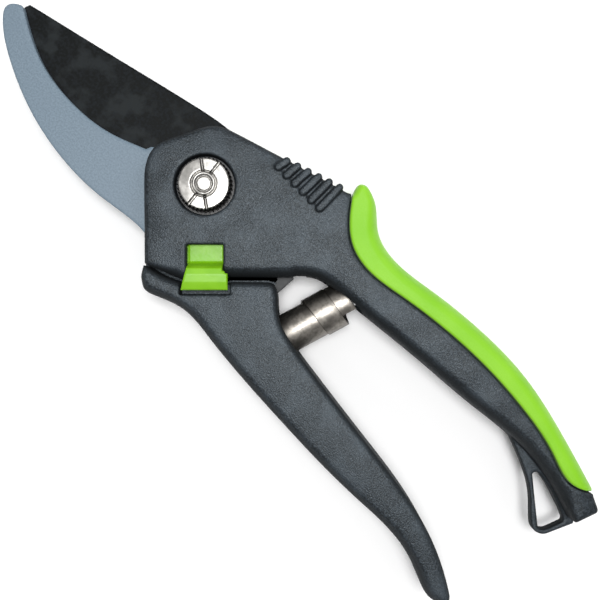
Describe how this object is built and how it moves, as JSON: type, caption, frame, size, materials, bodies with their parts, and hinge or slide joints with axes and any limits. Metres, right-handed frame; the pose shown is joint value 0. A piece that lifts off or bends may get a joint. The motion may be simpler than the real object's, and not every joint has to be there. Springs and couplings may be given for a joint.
{
  "type": "bypass pruner",
  "caption": "Hand pruner with a hooked counter blade, a passing cutting blade, a volute spring between the handles, a thumb catch and a hang loop.",
  "frame": {"origin": "on the pivot axis, at the rear face of the pivot nut, on which the tool lies", "axes": "+X along the handles away from the blades, +Z along the pivot towards the bolt head, +Y towards the gripped handle"},
  "size_m": [0.2182, 0.0686, 0.022],
  "materials": {
    "handle_nylon": "fine spark-eroded texture, charcoal",
    "soft_grip": "matt soft-touch lime green",
    "hook_paint": "satin blue-grey coating with a fine fleck",
    "blade_coating": "black non-stick coating, slightly mottled",
    "bolt_nickel": "nickel plated",
    "spring_nickel": "nickel plated spring strip",
    "plain_steel": "bright zinc plated",
    "catch_plastic": "glossy lime green"
  },
  "bodies": {
    "upper_body": {"upper_handle": "handle_nylon", "upper_grip": "soft_grip", "hook_blade": "hook_paint", "pivot_bolt": "bolt_nickel", "bolt_washer": "plain_steel", "pivot_bush": "plain_steel", "spring_washer": "plain_steel", "pivot_nut": "bolt_nickel", "lock_detent_spring": "plain_steel", "lock_stop_pin": "plain_steel", "volute_spring": "spring_nickel", "upper_spring_post": "plain_steel", "hook_tang_rivets": "plain_steel"},
    "lower_body": {"lower_handle": "handle_nylon", "cutting_blade": "blade_coating", "lower_spring_post": "plain_steel", "blade_tang_rivets": "plain_steel"},
    "catch_body": {"lock_catch": "catch_plastic"}
  },
  "joints": [
    {"name": "blade_pivot", "type": "hinge", "parent": "upper_body", "child": "lower_body", "pos_m": [0, 0, 0.011], "axis": [0, 0, -1], "range_deg": [0, 28], "stiffness_Nm_per_rad": 1.6, "springref_deg": 50.13, "deforming": ["volute_spring"]},
    {"name": "lock_slide", "type": "slide", "parent": "upper_body", "child": "catch_body", "axis": [-0.7071, 0.7071, 0], "range_m": [0, 0.0047]}
  ]
}
